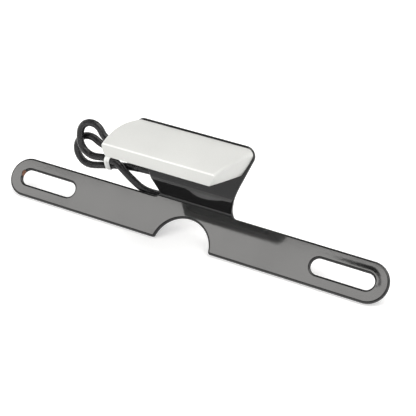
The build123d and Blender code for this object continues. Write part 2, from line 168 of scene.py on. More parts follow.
class Signal:
    """A shader socket whose arithmetic adds Math nodes."""

    def __init__(self, nodes, socket):
        self.nodes = nodes
        self.socket = socket

    def math(self, operation, *values):
        return self.nodes.node("ShaderNodeMath", {"operation": operation}, dict(enumerate(values)))

    def most(self, other):
        """The larger of two values."""
        return self.math("MAXIMUM", self, other)

    def root(self):
        return self.math("SQRT", self)

    def __abs__(self):
        return self.math("ABSOLUTE", self)

    def __add__(self, other):
        return self.math("ADD", self, other)

    def __sub__(self, other):
        return self.math("SUBTRACT", self, other)

    def __rsub__(self, other):
        return self.math("SUBTRACT", other, self)

    def __mul__(self, other):
        return self.math("MULTIPLY", self, other)

    def __gt__(self, other):
        return self.math("GREATER_THAN", self, other)

    def __lt__(self, other):
        return self.math("LESS_THAN", self, other)

    __radd__ = __add__
    __rmul__ = __mul__


class Nodes:
    """A node tree that is being built."""

    def __init__(self, tree):
        self.tree = tree

    def node(self, kind, settings=(), values=(), output=0):
        """Adds a node, with its settings made first and its sockets given values or links."""
        node = self.tree.nodes.new(kind)
        for key, value in dict(settings).items():
            setattr(node, key, value)
        for key, value in dict(values).items():
            self.feed(node.inputs[key], value)
        return Signal(self, node.outputs[output])

    def feed(self, socket, value):
        if isinstance(value, Signal):
            self.tree.links.new(value.socket, socket)
        elif socket.type == "RGBA":
            socket.default_value = (*value[:3], 1.0)
        else:
            socket.default_value = value

    def rays(self, *kinds):
        """1 where the ray that looks is of a kind, for each of the kinds."""
        return [self.node("ShaderNodeLightPath", output=f"Is {kind} Ray") for kind in kinds]


class Finish(Nodes):
    """A material under construction round one Principled shader."""

    def __init__(self, name, **constants):
        self.material = bpy.data.materials.new(name)
        self.material.use_nodes = True
        super().__init__(self.material.node_tree)
        self.shader = self.tree.nodes["Principled BSDF"]
        for socket, value in constants.items():
            self.shader.inputs[socket.replace("_", " ")].default_value = value

    def place(self):
        """The surface point in the shared frame, in metres."""
        return self.node("ShaderNodeTexCoord", output=3)

    def noise(self, scale, detail=2.0, roughness=0.5, distortion=0.0, place=None):
        values = {"Vector": place or self.place(), "Scale": scale, "Detail": detail}
        values |= {"Roughness": roughness, "Distortion": distortion}
        return self.node("ShaderNodeTexNoise", {}, values)

    def cells(self, scale, output=0):
        return self.node("ShaderNodeTexVoronoi", {}, {"Vector": self.place(), "Scale": scale}, output)

    def spread(self, signal, low, high, bottom=0.0, top=1.0):
        """The signal's range from low to high stretched over bottom to top, and held at its ends."""
        return self.node(
            "ShaderNodeMapRange",
            {"clamp": True, "interpolation_type": "SMOOTHSTEP"},
            {"Value": signal, "From Min": low, "From Max": high, "To Min": bottom, "To Max": top},
        )

    def mix(self, factor, first, second):
        return self.node("ShaderNodeMix", {"data_type": "RGBA"}, {0: factor, 6: first, 7: second}, 2)

    def vectors(self, operation, first, second, output=0):
        return self.node("ShaderNodeVectorMath", {"operation": operation}, {0: first, 1: second}, output)

    def near(self, point, reach):
        """1 at a point in the shared frame, fading to 0 at the reach."""
        return self.spread(self.vectors("DISTANCE", self.place(), point, 1), 0.0, reach, 1.0, 0.0)

    def along(self, axis):
        return self.node("ShaderNodeSeparateXYZ", {}, {0: self.place()}, axis)

    def along_way(self, way):
        """How far the surface point lies from the head plate's bend along a direction."""
        from_bend = self.vectors("SUBTRACT", self.place(), HEAD_BEND * MM)
        return self.vectors("DOT_PRODUCT", from_bend, way, 1)

    def stretched(self, scale):
        """The surface point with each axis scaled by its own amount."""
        return self.vectors("MULTIPLY", self.place(), scale)

    def bump(self, height, distance, strength=1.0, under=None):
        values = {"Height": height, "Distance": distance, "Strength": strength}
        if under:
            values["Normal"] = under
        return self.node("ShaderNodeBump", {}, values)

    def coat(self, **links):
        """Links what changes over the surface to the shader's own sockets."""
        for socket, value in links.items():
            self.feed(self.shader.inputs[socket.replace("_", " ")], value)
        return self.material

    def surface(self, tint, rough, normal):
        return self.coat(Base_Color=tint, Roughness=rough, Normal=normal)


def shared(make):
    """A finish that several pieces have, made once under its function's name."""
    return bpy.data.materials.get(make.__name__) or make()


def gloss_black_paint(paint, rust):
    """Gloss paint with orange peel, a raised rim at the right slot and rust at the left one."""
    finish = Finish("gloss_black_paint", IOR=1.55)
    peel = finish.noise(850.0)
    film = finish.noise(38.0, 3.0)
    dust = finish.spread(finish.cells(1500.0), 0.1, 0.16, 1.0, 0.0) * finish.spread(film, 0.5, 0.7)
    chip_edge = finish.noise(2600.0, 3.0)
    chips = [((-0.0871, -0.0018, 0.0015), 0.0022), ((-0.0874, -0.0012, 0.0003), 0.0013)]
    spots = sum((finish.near(point, reach) for point, reach in chips), 0.0)
    chip = finish.spread(spots * chip_edge, 0.22, 0.4)
    body = finish.mix(finish.spread(film, 0.35, 0.75, 0.0, 0.35), paint, (0.01, 0.01, 0.0105))
    speckled = finish.mix(dust * 0.25, body, (0.22, 0.21, 0.2))
    mottled = finish.mix(chip_edge, rust, (0.05, 0.02, 0.012))
    rough = finish.spread(film, 0.3, 0.75, 0.05, 0.09) + dust * 0.15 + chip * 0.5
    slot_middle, half_straight = 0.073, 0.0107
    past_straight = (abs(finish.along(0) - slot_middle) - half_straight).most(0.0)
    level = finish.along(2)
    from_slot = (past_straight * past_straight + level * level).root()
    rim = finish.spread(from_slot, 0.0046, 0.0068, 1.0, 0.0) * finish.spread(level, -0.002, 0.0005)
    rim = rim * finish.spread(finish.along(0), 0.062, 0.088, 0.12, 1.0)
    under = finish.bump(rim, 0.00003, 1.0, finish.bump(peel, 0.00002, 0.2))
    normal = finish.bump(chip * chip_edge, 0.0001, 0.8, under)
    return finish.surface(finish.mix(chip, speckled, mottled), rough, normal)


def silver_shell(silver):
    """Silver finish with fine flakes, soft clouds and a painted highlight along the lip's upper edge."""
    finish = Finish("silver_shell", IOR=1.5, Metallic=0.15)
    sparkle = finish.node("ShaderNodeRGBToBW", {}, {0: finish.cells(9000.0, 1)})
    cloud = finish.noise(60.0, 3.0)
    pale = tuple(channel * 1.07 for channel in silver)
    dim = tuple(channel * 0.95 for channel in silver)
    tint = finish.mix(cloud, dim, pale)
    # Painted highlight: a pale line in the colour along the lip's rounded upper edge, where light glints off
    # it
    lip_highlight = finish.spread(finish.along_way(OUT_HEAD), 0.0298, 0.0301)
    lip_highlight = lip_highlight * finish.spread(finish.along_way(UP_HEAD), 0.024, 0.0244)
    flake_and_highlight_white = (0.95, 0.95, 0.94)
    with_lip_highlight = finish.mix(lip_highlight * 0.7, tint, flake_and_highlight_white)
    # Fine flakes, paler at random, in the same near-white as the painted highlight
    grain = finish.mix(finish.spread(sparkle, 0.2, 1.0, 0.0, 0.14), with_lip_highlight, flake_and_highlight_white)
    rub = finish.spread(finish.noise(240.0, 4.0, 0.65), 0.42, 0.72)
    rough = finish.spread(cloud, 0.3, 0.7, 0.34, 0.42) + rub * 0.05
    return finish.surface(grain, rough, finish.bump(finish.noise(2400.0), 0.00001, 0.35))


def clear_plastic():
    finish = Finish("clear_plastic", IOR=1.49, Transmission_Weight=1.0)
    haze = finish.noise(300.0, 3.0)
    tint = finish.mix(haze, (0.93, 0.95, 0.96), (0.97, 0.98, 0.985))
    return finish.surface(
        tint, finish.spread(haze, 0.3, 0.8, 0.03, 0.12), finish.bump(finish.noise(900.0), 0.00001, 0.3)
    )


def black_rubber():
    finish = Finish("black_rubber", IOR=1.5)
    grain = finish.noise(2200.0, 4.0, 0.6)
    bloom = finish.noise(120.0, 3.0)
    tint = finish.mix(finish.spread(bloom, 0.45, 0.75), (0.016, 0.016, 0.016), (0.045, 0.044, 0.042))
    return finish.surface(tint, finish.spread(bloom, 0.3, 0.8, 0.55, 0.75), finish.bump(grain, 0.00004, 0.6))


def circuit_board():
    finish = Finish("circuit_board", IOR=1.5)
    x = finish.along(0)
    bare, laid = (0, 0, 0), (1, 1, 1)
    layout = {"Vector": finish.place(), "Color1": bare, "Color2": bare, "Mortar": laid, "Scale": 190.0}
    layout |= {"Mortar Size": 0.05, "Brick Width": 0.9, "Row Height": 0.35}
    tracks = finish.node("ShaderNodeTexBrick", {"offset": 0.5}, layout, 1)
    copper = tracks * (x > -0.015)
    grain = finish.noise(900.0)
    resist = finish.mix(grain, (0.012, 0.09, 0.035), (0.02, 0.13, 0.05))
    tint = finish.mix(copper * 0.6, resist, (0.05, 0.22, 0.09))
    return finish.surface(tint, finish.spread(grain, 0.2, 0.8, 0.28, 0.4), finish.bump(copper, 0.00003, 0.8))


def led_white():
    finish = Finish("led_white", IOR=1.5)
    grain = finish.noise(2600.0)
    tint = finish.mix(grain, (0.78, 0.77, 0.72), (0.86, 0.86, 0.82))
    return finish.coat(Base_Color=tint, Roughness=finish.spread(grain, 0.2, 0.8, 0.4, 0.55))


def led_phosphor():
    finish = Finish("led_phosphor", IOR=1.45)
    grain = finish.noise(5200.0, 4.0)
    tint = finish.mix(grain, (0.86, 0.62, 0.08), (0.93, 0.78, 0.22))
    return finish.surface(tint, finish.spread(grain, 0.2, 0.8, 0.3, 0.5), finish.bump(grain, 0.00002, 0.5))


def moulded_black():
    finish = Finish("moulded_black", IOR=1.5)
    grain = finish.noise(3200.0, 3.0)
    wear = finish.noise(260.0, 3.0)
    tint = finish.mix(finish.spread(wear, 0.4, 0.8), (0.02, 0.02, 0.021), (0.05, 0.05, 0.05))
    return finish.surface(tint, finish.spread(wear, 0.3, 0.8, 0.42, 0.6), finish.bump(grain, 0.00002, 0.5))


def zinc_plate():
    finish = Finish("zinc_plate", Metallic=1.0)
    streak = finish.noise(140.0, 4.0, 0.6, place=finish.stretched((1.0, 3.0, 9.0)))
    bloom = finish.noise(420.0, 3.0)
    tint = finish.mix(streak, (0.56, 0.56, 0.55), (0.72, 0.73, 0.74))
    passive = finish.mix(finish.spread(bloom, 0.5, 0.8, 0.0, 0.5), tint, (0.66, 0.64, 0.52))
    return finish.surface(
        passive, finish.spread(bloom, 0.3, 0.8, 0.26, 0.46), finish.bump(streak, 0.00003, 0.4)
    )


def lead_sheath(tint):
    finish = Finish("lead_sheath", IOR=1.52)
    ripple = finish.noise(260.0, 3.0, 0.55, 0.6)
    scuff = finish.noise(1500.0, 4.0, 0.7)
    # Pale specks that are partly dust and partly a painted highlight speckle on the sheath
    dust_and_painted_speckle = finish.spread(scuff, 0.58, 0.76) * finish.spread(ripple, 0.4, 0.7)
    shade = finish.mix(dust_and_painted_speckle * 0.4, tint, (0.16, 0.16, 0.165))
    rough = finish.spread(ripple, 0.3, 0.75, 0.15, 0.3) + dust_and_painted_speckle * 0.25
    lumps = finish.bump(ripple, 0.0007, 0.6)
    return finish.surface(shade, rough, finish.bump(scuff, 0.00005, 0.5, lumps))


def tie_plastic(white):
    finish = Finish("tie_plastic", IOR=1.46)
    fibre = finish.noise(700.0, 4.0, 0.6, place=finish.stretched((4.0, 1.0, 1.0)))
    soil = finish.spread(finish.noise(210.0, 3.0), 0.5, 0.8)
    tint = finish.mix(soil * 0.3, white, (0.66, 0.66, 0.62))
    return finish.surface(tint, finish.spread(fibre, 0.3, 0.7, 0.4, 0.6), finish.bump(fibre, 0.00004, 0.6))


def core_insulation(name, tint):
    finish = Finish(name, IOR=1.52)
    grain = finish.noise(900.0, 3.0)
    pale = tuple(min(1.0, channel * 1.5 + 0.01) for channel in tint)
    return finish.surface(
        finish.mix(grain, tint, pale), finish.spread(grain, 0.3, 0.7, 0.32, 0.46),
        finish.bump(grain, 0.00003, 0.4),
    )


def board_cores(live, earth):
    """Feed insulation on the right-hand core in the lamp, return insulation on the left."""
    finish = Finish("board_cores", IOR=1.52)
    right = finish.along(0) > 0.0
    grain = finish.noise(900.0, 3.0)
    tint = finish.mix(right, earth, live)
    worn = finish.mix(finish.spread(grain, 0.4, 0.8, 0.0, 0.12), tint, (0.3, 0.28, 0.26))
    return finish.surface(worn, finish.spread(grain, 0.3, 0.7, 0.32, 0.46), finish.bump(grain, 0.00003, 0.4))


def terminal_brass():
    finish = Finish("terminal_brass", Metallic=1.0)
    tarnish = finish.noise(520.0, 4.0, 0.6)
    turned = finish.noise(1900.0, 2.0, place=finish.stretched((6.0, 1.0, 1.0)))
    tint = finish.mix(finish.spread(tarnish, 0.45, 0.75), (0.78, 0.6, 0.27), (0.42, 0.3, 0.13))
    return finish.surface(
        tint, finish.spread(tarnish, 0.3, 0.8, 0.22, 0.45), finish.bump(turned, 0.00002, 0.5)
    )


# Making pieces


def put(name, data):
    """A new object in the scene that holds the data."""
    piece = bpy.data.objects.new(name, data)
    bpy.context.scene.collection.objects.link(piece)
    return piece


def add_mesh(name, vertices, faces):
    mesh = bpy.data.meshes.new(name)
    mesh.from_pydata([tuple(v) for v in vertices], [], faces)
    mesh.validate()
    return put(name, mesh)


def as_built(piece):
    """A mesh of the piece as its modifiers or its curve make it."""
    return bpy.data.meshes.new_from_object(piece.evaluated_get(bpy.context.evaluated_depsgraph_get()))


def finish_piece(piece, replaced, material, crease=30.0):
    """Shades a piece smooth up to a crease angle, paints it and hands it to the frame."""
    if piece.type == "MESH":
        tidy_normals(piece.data)
        piece.data.shade_smooth()
        piece.data.set_sharp_from_angle(angle=radians(crease))
    piece.data.materials.append(material)
    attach(piece, "root")
    if replaced:
        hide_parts(*replaced)
    return piece


def tidy_normals(mesh):
    """Turns every face outwards."""
    shell = bmesh.new()
    shell.from_mesh(mesh)
    bmesh.ops.recalc_face_normals(shell, faces=shell.faces)
    shell.to_mesh(mesh)
    shell.free()


def paint_nodes(material, *names):
    """Paints pieces of the frame that show as they are."""
    for name in names:
        data = nodes[name].data
        data.materials.clear()
        data.materials.append(material)


def skin(rings, closed_loop=False):
    """Vertices and faces of a surface through rings of equal count, capped unless it closes."""
    count = len(rings[0])
    vertices = [point for ring in rings for point in ring]
    faces = []
    for first in range(len(rings) if closed_loop else len(rings) - 1):
        low, high = first * count, (first + 1) % len(rings) * count
        for k in range(count):
            n = (k + 1) % count
            faces.append((low + k, low + n, high + n, high + k))
    if not closed_loop:
        faces.append(tuple(reversed(range(count))))
        faces.append(tuple(range(len(vertices) - count, len(vertices))))
    return vertices, faces


def lathe_rings(profile, origin, axis, steps=40):
    """Rings of a turned form: profile gives distance along the axis and radius, in millimetres."""
    axis = axis.normalized()
    side = axis.orthogonal().normalized()
    other = axis.cross(side)
    turns = [2 * pi * k / steps for k in range(steps)]
    return [
        [origin + (axis * along + (side * cos(t) + other * sin(t)) * radius) * MM for t in turns]
        for along, radius in profile
    ]


def rounded(profile, radius=0.3, steps=4):
    """The same profile with each inner corner cut by a small curve."""
    result = [profile[0]]
    for before, corner, after in zip(profile, profile[1:], profile[2:]):
        into = Vector(corner) - Vector(before)
        away = Vector(after) - Vector(corner)
        reach = min(radius, into.length * 0.45, away.length * 0.45)
        start = Vector(corner) - into.normalized() * reach
        finish = Vector(corner) + away.normalized() * reach
        for k in range(steps + 1):
            t = k / steps
            bend = start * (1 - t) ** 2 + Vector(corner) * 2 * t * (1 - t) + finish * t**2
            result.append((bend.x, bend.y))
    result.append(profile[-1])
    return result


def joined(parts):
    """Vertices and faces of several parts as one."""
    vertices, faces = [], []
    for more_vertices, more_faces in parts:
        base = len(vertices)
        vertices += more_vertices
        faces += [tuple(base + k for k in face) for face in more_faces]
    return vertices, faces


def cut(piece, tools):
    """Cuts the tools' forms out of a piece's mesh and removes the tools."""
    for tool in tools:
        modifier = piece.modifiers.new("cut", "BOOLEAN")
        modifier.operation = "DIFFERENCE"
        modifier.object = tool
        modifier.solver = "EXACT"
    result = as_built(piece)
    piece.modifiers.clear()
    piece.data = result
    for tool in tools:
        bpy.data.objects.remove(tool)


# The holder


def arc(middle, radius, start, end, steps=20):
    """Points on an arc, its angles in degrees, with both ends."""
    turns = [radians(start + (end - start) * k / steps) for k in range(steps + 1)]
    return [(middle[0] + radius * cos(t), middle[1] + radius * sin(t)) for t in turns]


# How the sheet is folded, along its developed height in millimetres: where each bend starts, its
# turn, and the radii of its front face
FOLD_START, FOLD_RADIUS, FOLD_TURN = 9.0, 1.5, radians(67.0)
BEND_RADIUS, BEND_TURN = 8.0, radians(28.9)
LEDGE_RUN, HEAD_RUN = 8.147, 23.74

# Radius where the notch meets the bar's lower edge, in millimetres
NOTCH_LIP = 1.2

# Half widths of the tongue at developed heights, from the flare above the root to the head's corner
TONGUE_SIDE = [
    (18.05, 11.6), (18.3, 13.2), (19.05, 16.0), (19.85, 18.8), (20.65, 21.6), (21.5, 24.5), (22.4, 27.0),
]
SIDE_SLOPE = 0.41


class HOLDER_OT_sheet(bpy.types.Operator):
    """Build the sheet cut flat with its slots, notch and rounded edges, then folded"""

    bl_idname = "holder.sheet"
    bl_label = "Holder sheet"

    def execute(self, context):
        form = context.scene.holder_sheet
        self.thickness = form.thickness / MM
        flat = self.flat_sheet(form)
        normals = self.fold(flat.data)
        finish_piece(flat, ["bracket"], gloss_black_paint(form.paint, form.rust), crease=180)
        flat.data.normals_split_custom_set_from_vertices(normals)
        return {"FINISHED"}

    def heights(self):
        """Developed heights of the fold, the ledge's ends and the head's top, at half thickness."""
        middle = self.thickness / 2
        fold_end = FOLD_START + (FOLD_RADIUS + middle) * FOLD_TURN
        bend_start = fold_end + LEDGE_RUN
        bend_end = bend_start + (BEND_RADIUS - middle) * BEND_TURN
        return fold_end, bend_start, bend_end, bend_end + HEAD_RUN

    def outline(self, form):
        """The right half of the flat outline, from the notch's crown to the head's top."""
        bar, reach = form.bar_width / MM / 2, form.bar_length / MM / 2
        notch, drop = form.notch_radius / MM, form.notch_drop / MM
        lip_x = ((notch + NOTCH_LIP) ** 2 - (drop + NOTCH_LIP) ** 2) ** 0.5
        meet = degrees(atan2(drop + NOTCH_LIP, lip_x))
        points = arc((0, -bar - drop), notch, 90, meet, 36)
        points += arc((lip_x, -bar + NOTCH_LIP), NOTCH_LIP, 180 + meet, 270, 8)
        points += arc((reach - bar, 0), bar, -90, 90, 48)
        neck, root = form.neck_width / MM / 2, form.root_radius / MM
        points += arc((neck + root, bar + root), root, 270, 180, 10)
        points += TONGUE_SIDE
        corner = form.head_corner / MM
        lean = atan2(SIDE_SLOPE, 1)
        base_x, base_v = TONGUE_SIDE[-1]
        centre_v = self.heights()[3] - corner
        tangent_v = centre_v - corner * sin(lean)
        centre_x = base_x + SIDE_SLOPE * (tangent_v - base_v) - corner * cos(lean)
        return points + arc((centre_x, centre_v), corner, -degrees(lean), 90, 14)

    def flat_sheet(self, form):
        """The sheet as cut, in millimetres, as a mesh in its own plane."""
        curve = bpy.data.curves.new("holder_sheet", "CURVE")
        curve.dimensions = "2D"
        curve.fill_mode = "BOTH"
        rounding = form.edge_round / MM
        curve.extrude = self.thickness / 2 - rounding
        curve.bevel_depth = rounding
        curve.bevel_resolution = form.edge_steps
        curve.offset = -rounding
        right = self.outline(form)
        loops = [right + [(-x, v) for x, v in reversed(right[1:])]]
        slot = form.slot_width / MM / 2
        ends = form.slot_length / MM / 2 - slot
        for side in (-1, 1):
            place = side * form.slot_spacing / MM / 2
            loops.append(arc((place + ends, 0), slot, -90, 90) + arc((place - ends, 0), slot, 90, 270))
        head_start = self.heights()[2] - BEND_RADIUS * tan(BEND_TURN / 2)
        studs = [(side * STUD_OUT, STUD_UP, STUD_HOLE) for side in (-1, 1)]
        for x, s, radius in [*studs, (0, GROMMET_UP, GROMMET_HOLE)]:
            loops.append(arc((x, head_start + s), radius, 0, 345, 23))
        for loop in loops:
            spline = curve.splines.new("POLY")
            spline.points.add(len(loop) - 1)
            for target, (x, v) in zip(spline.points, loop):
                target.co = (x, v, 0, 1)
            spline.use_cyclic_u = True
        shape = put("sheet_outline", curve)
        mesh = as_built(shape)
        bpy.data.objects.remove(shape)
        return put("holder_sheet", mesh)

    def fold(self, mesh):
        """Cuts lines across the flat sheet through its bends, folds it and gives its vertex normals."""
        fold_end, bend_start, bend_end = self.heights()[:3]
        shell = bmesh.new()
        shell.from_mesh(mesh)
        bmesh.ops.remove_doubles(shell, verts=shell.verts, dist=1e-4)
        bends = ((FOLD_START, fold_end), (bend_start, bend_end))
        for line in [start + (end - start) * k / 10 for start, end in bends for k in range(11)]:
            geometry = [*shell.verts, *shell.edges, *shell.faces]
            bmesh.ops.bisect_plane(shell, geom=geometry, dist=1e-5, plane_co=(0, line, 0), plane_no=(0, 1, 0))
        bmesh.ops.recalc_face_normals(shell, faces=shell.faces)
        shell.normal_update()
        normals = []
        for vertex in shell.verts:
            level = [face.normal.z for face in vertex.link_faces if abs(face.normal.z) > 0.999]
            normals.append(Vector((0, 0, level[0])) if level else vertex.normal.copy())
        for index, vertex in enumerate(shell.verts):
            vertex.co, rear, along = self.folded(vertex.co.x, vertex.co.y, self.thickness / 2 - vertex.co.z)
            flat = normals[index]
            normals[index] = (Vector((flat.x, 0, 0)) + along * flat.y - rear * flat.z).normalized()
        shell.to_mesh(mesh)
        shell.free()
        return normals

    def folded(self, x, v, w):
        """Where a point of the flat sheet goes, from its place across, its developed height and its
        depth from the front, with the ways to the sheet's rear and up along it there."""
        fold_end, bend_start, bend_end = self.heights()[:3]
        middle = self.thickness / 2
        centre = Vector((0, -self.thickness - FOLD_RADIUS, FOLD_START))
        if v <= FOLD_START:
            return Vector((x, -self.thickness + w, v)) * MM, Vector((0, 1, 0)), Vector((0, 0, 1))
        turn = min((v - FOLD_START) / (FOLD_RADIUS + middle), FOLD_TURN)
        rear = Vector((0, cos(turn), sin(turn)))
        point = centre + rear * (FOLD_RADIUS + w)
        along = Vector((0, -sin(turn), cos(turn)))
        if v > fold_end:
            point += along * (min(v, bend_start) - fold_end)
        if v > bend_start:
            front = centre + rear * FOLD_RADIUS + along * LEDGE_RUN
            pivot = front + rear * BEND_RADIUS
            back = FOLD_TURN - min((v - bend_start) / (BEND_RADIUS - middle), BEND_TURN)
            rear = Vector((0, cos(back), sin(back)))
            along = Vector((0, -sin(back), cos(back)))
            point = pivot - rear * (BEND_RADIUS - w) + along * max(v - bend_end, 0.0)
        return (point + ACROSS * x) * MM, rear, along


# The lamp


def on_curve(h, depth, back, middle, front):
    """The value at depth h of a curve through three values along the housing."""
    t = h / depth
    return back * (1 - t) * (1 - 2 * t) + middle * 4 * t * (1 - t) + front * t * (2 * t - 1)


def lamp_ring(form, h, inset):
    """One ring of the housing's skin at depth h in metres, drawn in by inset."""
    depth = form.depth
    crowned = (form.top + form.lip_top) / 2 + form.crown
    top = on_curve(h, depth, form.top, crowned, form.lip_top) - inset
    low = on_curve(h, depth, form.low, (form.low + form.lip_low) / 2, form.lip_low) + inset
    half = (form.top_width + form.lip_width) / 4 + form.end_bulge
    half_low = (form.low_width + form.lip_low_width) / 4
    wide = on_curve(h, depth, form.top_width / 2, half, form.lip_width / 2) - inset
    narrow = on_curve(h, depth, form.low_width / 2, half_low, form.lip_low_width / 2) - inset
    radius = max(on_curve(h, depth, form.back_corner, form.lip_corner, form.lip_corner) - inset, 0.0003)
    corners = [Vector((narrow, low)), Vector((wide, top)), Vector((-wide, top)), Vector((-narrow, low))]
    runs = [6, 28, 6, 28]  # faces along the right end, the top, the left end and the underside
    points = []
    for index, corner in enumerate(corners):
        before, after = corners[index - 1], corners[(index + 1) % 4]
        into, away = (corner - before).normalized(), (after - corner).normalized()
        turn = into.angle(away)
        reach = radius * tan(turn / 2)
        start = corner - into * reach
        inward = Vector((-into.y, into.x))
        centre = start + inward * radius
        for k in range(7):
            angle = turn * k / 6
            points.append(centre - inward * radius * cos(angle) + into * radius * sin(angle))
        next_turn = away.angle((corners[(index + 2) % 4] - after).normalized())
        leave, arrive = corner + away * reach, after - away * (radius * tan(next_turn / 2))
        for k in range(1, runs[index]):
            points.append(leave.lerp(arrive, k / runs[index]))
    middle, reach = (top + low) / 2, (top - low) / 2
    ring = []
    for point in points:
        swell = form.side_bulge * max(0.0, 1 - ((point.y - middle) / reach) ** 2)
        x = point.x + (swell if point.x > 0 else -swell) * (abs(point.x) > narrow * 0.9)
        ring.append(at_head(x / MM, point.y / MM, h / MM))
    return ring


def underside_frame(form):
    """The lip's lower edge, and the ways back along the underside and out of it."""
    back = at_head(0, form.low / MM, 0)
    front = at_head(0, form.lip_low / MM, form.depth / MM)
    run = (back - front).normalized()
    out = ACROSS.cross(-run).normalized()
    return front, run, out


def underside_block(form, name, length, width, corner, *levels):
    """A rounded block round the lens's middle, between two levels along the underside's normal."""
    origin, run, out = underside_frame(form)
    rings = [[], []]
    for ring, level in zip(rings, levels):
        for sx, sy, start in ((1, -1, -90), (1, 1, 0), (-1, 1, 90), (-1, -1, 180)):
            for k in range(7):
                angle = radians(start + 15 * k)
                x = sx * (length / 2 - corner) + corner * cos(angle)
                y = sy * (width / 2 - corner) + corner * sin(angle)
                ring.append(origin + (ACROSS * x + run * (WINDOW_MIDDLE + y) + out * level) * MM)
    return add_mesh(name, *skin(rings))


class HOLDER_OT_lamp_shell(bpy.types.Operator):
    """Build the lamp's silver housing with its crowned top, lip and open window"""

    bl_idname = "holder.lamp_shell"
    bl_label = "Lamp housing"

    def execute(self, context):
        form = context.scene.lamp_form
        places = [form.depth * share / 24 for share in range(23)]
        rings = [lamp_ring(form, h, 0.0) for h in places]
        for k in range(7):
            angle = pi / 2 * k / 6
            h = form.depth - form.lip_round * (1 - sin(angle))
            rings.append(lamp_ring(form, h, form.lip_round * (1 - cos(angle))))
        shell = add_mesh("lamp_shell", *skin(rings))
        hollow = self.hollow(form)
        recess = underside_block(form, "recess", *LENS_RECESS)
        window = underside_block(form, "window", *LENS_WINDOW)
        bore = lathe_rings([(-1.0, LEAD_BORE), (4.0, LEAD_BORE)], at_head(0, GROMMET_UP, 0), OUT_HEAD)
        cut(shell, [hollow, recess, window, add_mesh("hole", *skin(bore))])
        finish_piece(shell, ["lamp_housing"], silver_shell(form.silver), crease=28)
        even = shell.modifiers.new("even_shading", "WEIGHTED_NORMAL")
        even.keep_sharp = True
        return {"FINISHED"}

    def hollow(self, form):
        """The space inside the housing, less the posts that carry the board and the lens."""
        rings = []
        for h in (0.002, form.depth - form.wall):
            share = h / form.depth
            top = form.top + (form.lip_top - form.top) * share - form.wall
            low = form.low + (form.lip_low - form.low) * share + 0.003
            wide = (form.top_width + (form.lip_width - form.top_width) * share) / 2 - form.wall * 1.2
            narrow = (form.low_width + (form.lip_low_width - form.low_width) * share) / 2 - form.wall
            corners = [(narrow, low), (wide, top), (-wide, top), (-narrow, low)]
            rings.append([at_head(x / MM, s / MM, h / MM) for x, s in corners])
        space = add_mesh("hollow", *skin(rings))
        origin, run, out = underside_frame(form)
        posts = []
        for x, low, top in POSTS:
            base = origin + (ACROSS * x + run * WINDOW_MIDDLE) * MM
            rings = lathe_rings([(-top, POST_RADIUS), (-low, POST_RADIUS)], base, out, 24)
            posts.append(add_mesh("post", *skin(rings)))
        cut(space, posts)
        return space


class HOLDER_OT_lamp_inside(bpy.types.Operator):
    """Finish the lens, gasket, board and what sits on it"""

    bl_idname = "holder.lamp_inside"
    bl_label = "Lamp inside"

    def execute(self, context):
        cores, form = context.scene.lead_form, context.scene.lamp_form
        paint_nodes(clear_plastic(), "lamp_lens")
        paint_nodes(shared(black_rubber), "lens_gasket")
        paint_nodes(circuit_board(), "led_board")
        paint_nodes(shared(moulded_black), "polarity_diode")
        paint_nodes(board_cores(cores.live, cores.earth), "board_wires")
        self.leds(form)
        self.resistors(form)
        return {"FINISHED"}

    def on_board(self, form, y):
        """Places along a row on the board's face, with the ways back along it and out of it."""
        origin, run, out = underside_frame(form)
        row = run * (WINDOW_MIDDLE - y) - out * BOARD_LEVEL
        return [origin + (ACROSS * (index * PART_PITCH) + row) * MM for index in (-1, 0, 1)], run, out

    def leds(self, form):
        """White LED packages, each with a phosphor pool in its face."""
        package = [(0.0, 1.68), (0.1, 1.75), (1.25, 1.75), (1.4, 1.6), (1.4, 1.35), (1.1, 1.2)]
        pool = [(1.0, 1.15), (1.12, 1.22), (1.16, 1.0), (1.19, 0.6), (1.2, 0.2)]
        places, run, out = self.on_board(form, LED_ROW)
        bodies, pools = [], []
        for base in places:
            square = []
            for level, half in package:
                ring = []
                for k in range(24):
                    angle = 2 * pi * k / 24
                    stretch = (abs(cos(angle)) ** 8 + abs(sin(angle)) ** 8) ** -0.125
                    flat = ACROSS * cos(angle) + run * sin(angle)
                    ring.append(base + (flat * half * stretch + out * level) * MM)
                square.append(ring)
            bodies.append(skin(square))
            pools.append(skin(lathe_rings(pool, base, out, 24)))
        finish_piece(add_mesh("led_packages", *joined(bodies)), ["leds"], led_white())
        finish_piece(add_mesh("led_pools", *joined(pools)), [], led_phosphor())

    def resistors(self, form):
        """Chip resistors: black bodies whose metal ends wrap round them."""
        places, run, out = self.on_board(form, RESISTOR_ROW)

        def brick(base, x0, x1, half, *levels):
            corners = [(x0, -half), (x1, -half), (x1, half), (x0, half)]
            return skin([
                [base + (ACROSS * x + run * y + out * level) * MM for x, y in corners] for level in levels
            ])

        bodies = [brick(base, -1.2, 1.2, 0.76, 0.03, 0.57) for base in places]
        ends = [brick(base, *end, 0.8, 0.0, 0.6) for base in places for end in ((-1.6, -1.15), (1.15, 1.6))]
        black, metal = shared(moulded_black), shared(zinc_plate)
        finish_piece(add_mesh("resistor_bodies", *joined(bodies)), ["resistors"], black)
        finish_piece(add_mesh("resistor_ends", *joined(ends)), [], metal)


